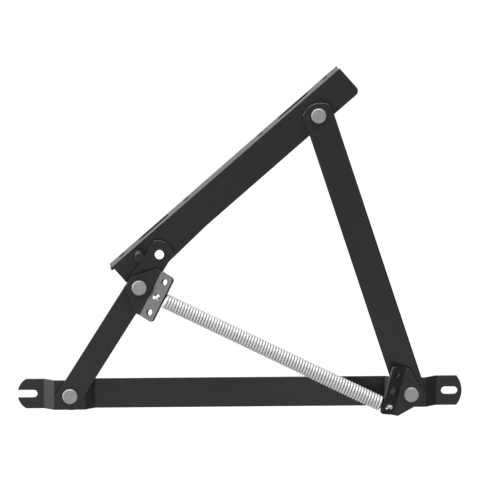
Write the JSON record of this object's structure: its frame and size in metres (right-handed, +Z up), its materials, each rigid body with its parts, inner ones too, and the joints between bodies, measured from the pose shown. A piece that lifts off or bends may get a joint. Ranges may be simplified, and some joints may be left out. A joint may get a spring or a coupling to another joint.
{
  "type": "spring lift mechanism",
  "caption": "Folding four-bar lift mechanism of flat black bars with a tension spring between two bent brackets, shown open.",
  "frame": {"origin": "middle of the base rail's wall face, on the line between the two base pivots", "axes": "+X along the base rail from the rear pivot to the front pivot, +Y into the wall, +Z up towards the lifted rail"},
  "size_m": [0.4452, 0.0485, 0.3525],
  "materials": {
    "black_powder_coat": "semi-matt",
    "zinc_plate": "satin",
    "bright_pin": "bright",
    "spring_wire": "satin",
    "nylon": "matte"
  },
  "bodies": {
    "base": {"base_rail": "black_powder_coat", "rear_base_rivet": "zinc_plate", "front_base_rivet": "zinc_plate", "rear_base_washer": "nylon", "front_base_washer": "nylon", "front_bracket_washer": "nylon", "front_spring_bracket": "black_powder_coat"},
    "rear_link": {"rear_arm": "black_powder_coat", "bracket_rivet": "zinc_plate"},
    "platform_link": {"top_rail": "black_powder_coat", "stop_stud": "black_powder_coat", "rear_top_pin": "bright_pin", "rear_top_washer": "nylon", "front_top_rivet_tail": "zinc_plate"},
    "front_link": {"front_arm": "black_powder_coat", "front_top_rivet": "zinc_plate", "front_top_washer": "nylon"},
    "spring_link": {"rear_spring_bracket": "black_powder_coat", "rear_bracket_washer": "nylon", "lift_spring": "spring_wire"},
    "spring_end": {"spring_front_hook": "spring_wire"}
  },
  "joints": [
    {"name": "rear_arm_swing", "type": "hinge", "parent": "base", "child": "rear_link", "pos_m": [-0.171, 0, 0], "axis": [0, -1, 0], "range_deg": [0, 112.55], "stiffness_Nm_per_rad": 0.6, "springref_deg": -171.89},
    {"name": "top_rail_swing", "type": "hinge", "parent": "rear_link", "child": "platform_link", "pos_m": [-0.08118, 0, 0.14374], "axis": [0, -1, 0], "range_deg": [-153.86, 0.01]},
    {"name": "front_arm_swing", "type": "hinge", "parent": "base", "child": "front_link", "pos_m": [0.171, 0, 0], "axis": [0, -1, 0], "range_deg": [-0.01, 66.53]},
    {"name": "rear_bracket_swivel", "type": "hinge", "parent": "rear_link", "child": "spring_link", "pos_m": [-0.10158, 0, 0.11109], "axis": [0, -1, 0], "range_deg": [-90.46, 0.01]},
    {"name": "spring_stretch", "type": "slide", "parent": "spring_link", "child": "spring_end", "axis": [0.8967, 0, -0.4426], "range_m": [-0.00001, 0.17136], "deforming": ["lift_spring", "spring_front_hook"]}
  ],
  "couplings": [
    {"joint": "top_rail_swing", "follows": "rear_arm_swing", "ratio": -1.367},
    {"joint": "front_arm_swing", "follows": "rear_arm_swing", "ratio": 0.59098},
    {"joint": "rear_bracket_swivel", "follows": "rear_arm_swing", "ratio": -0.80367},
    {"joint": "spring_stretch", "follows": "rear_arm_swing", "m_per_rad": 0.087221}
  ]
}
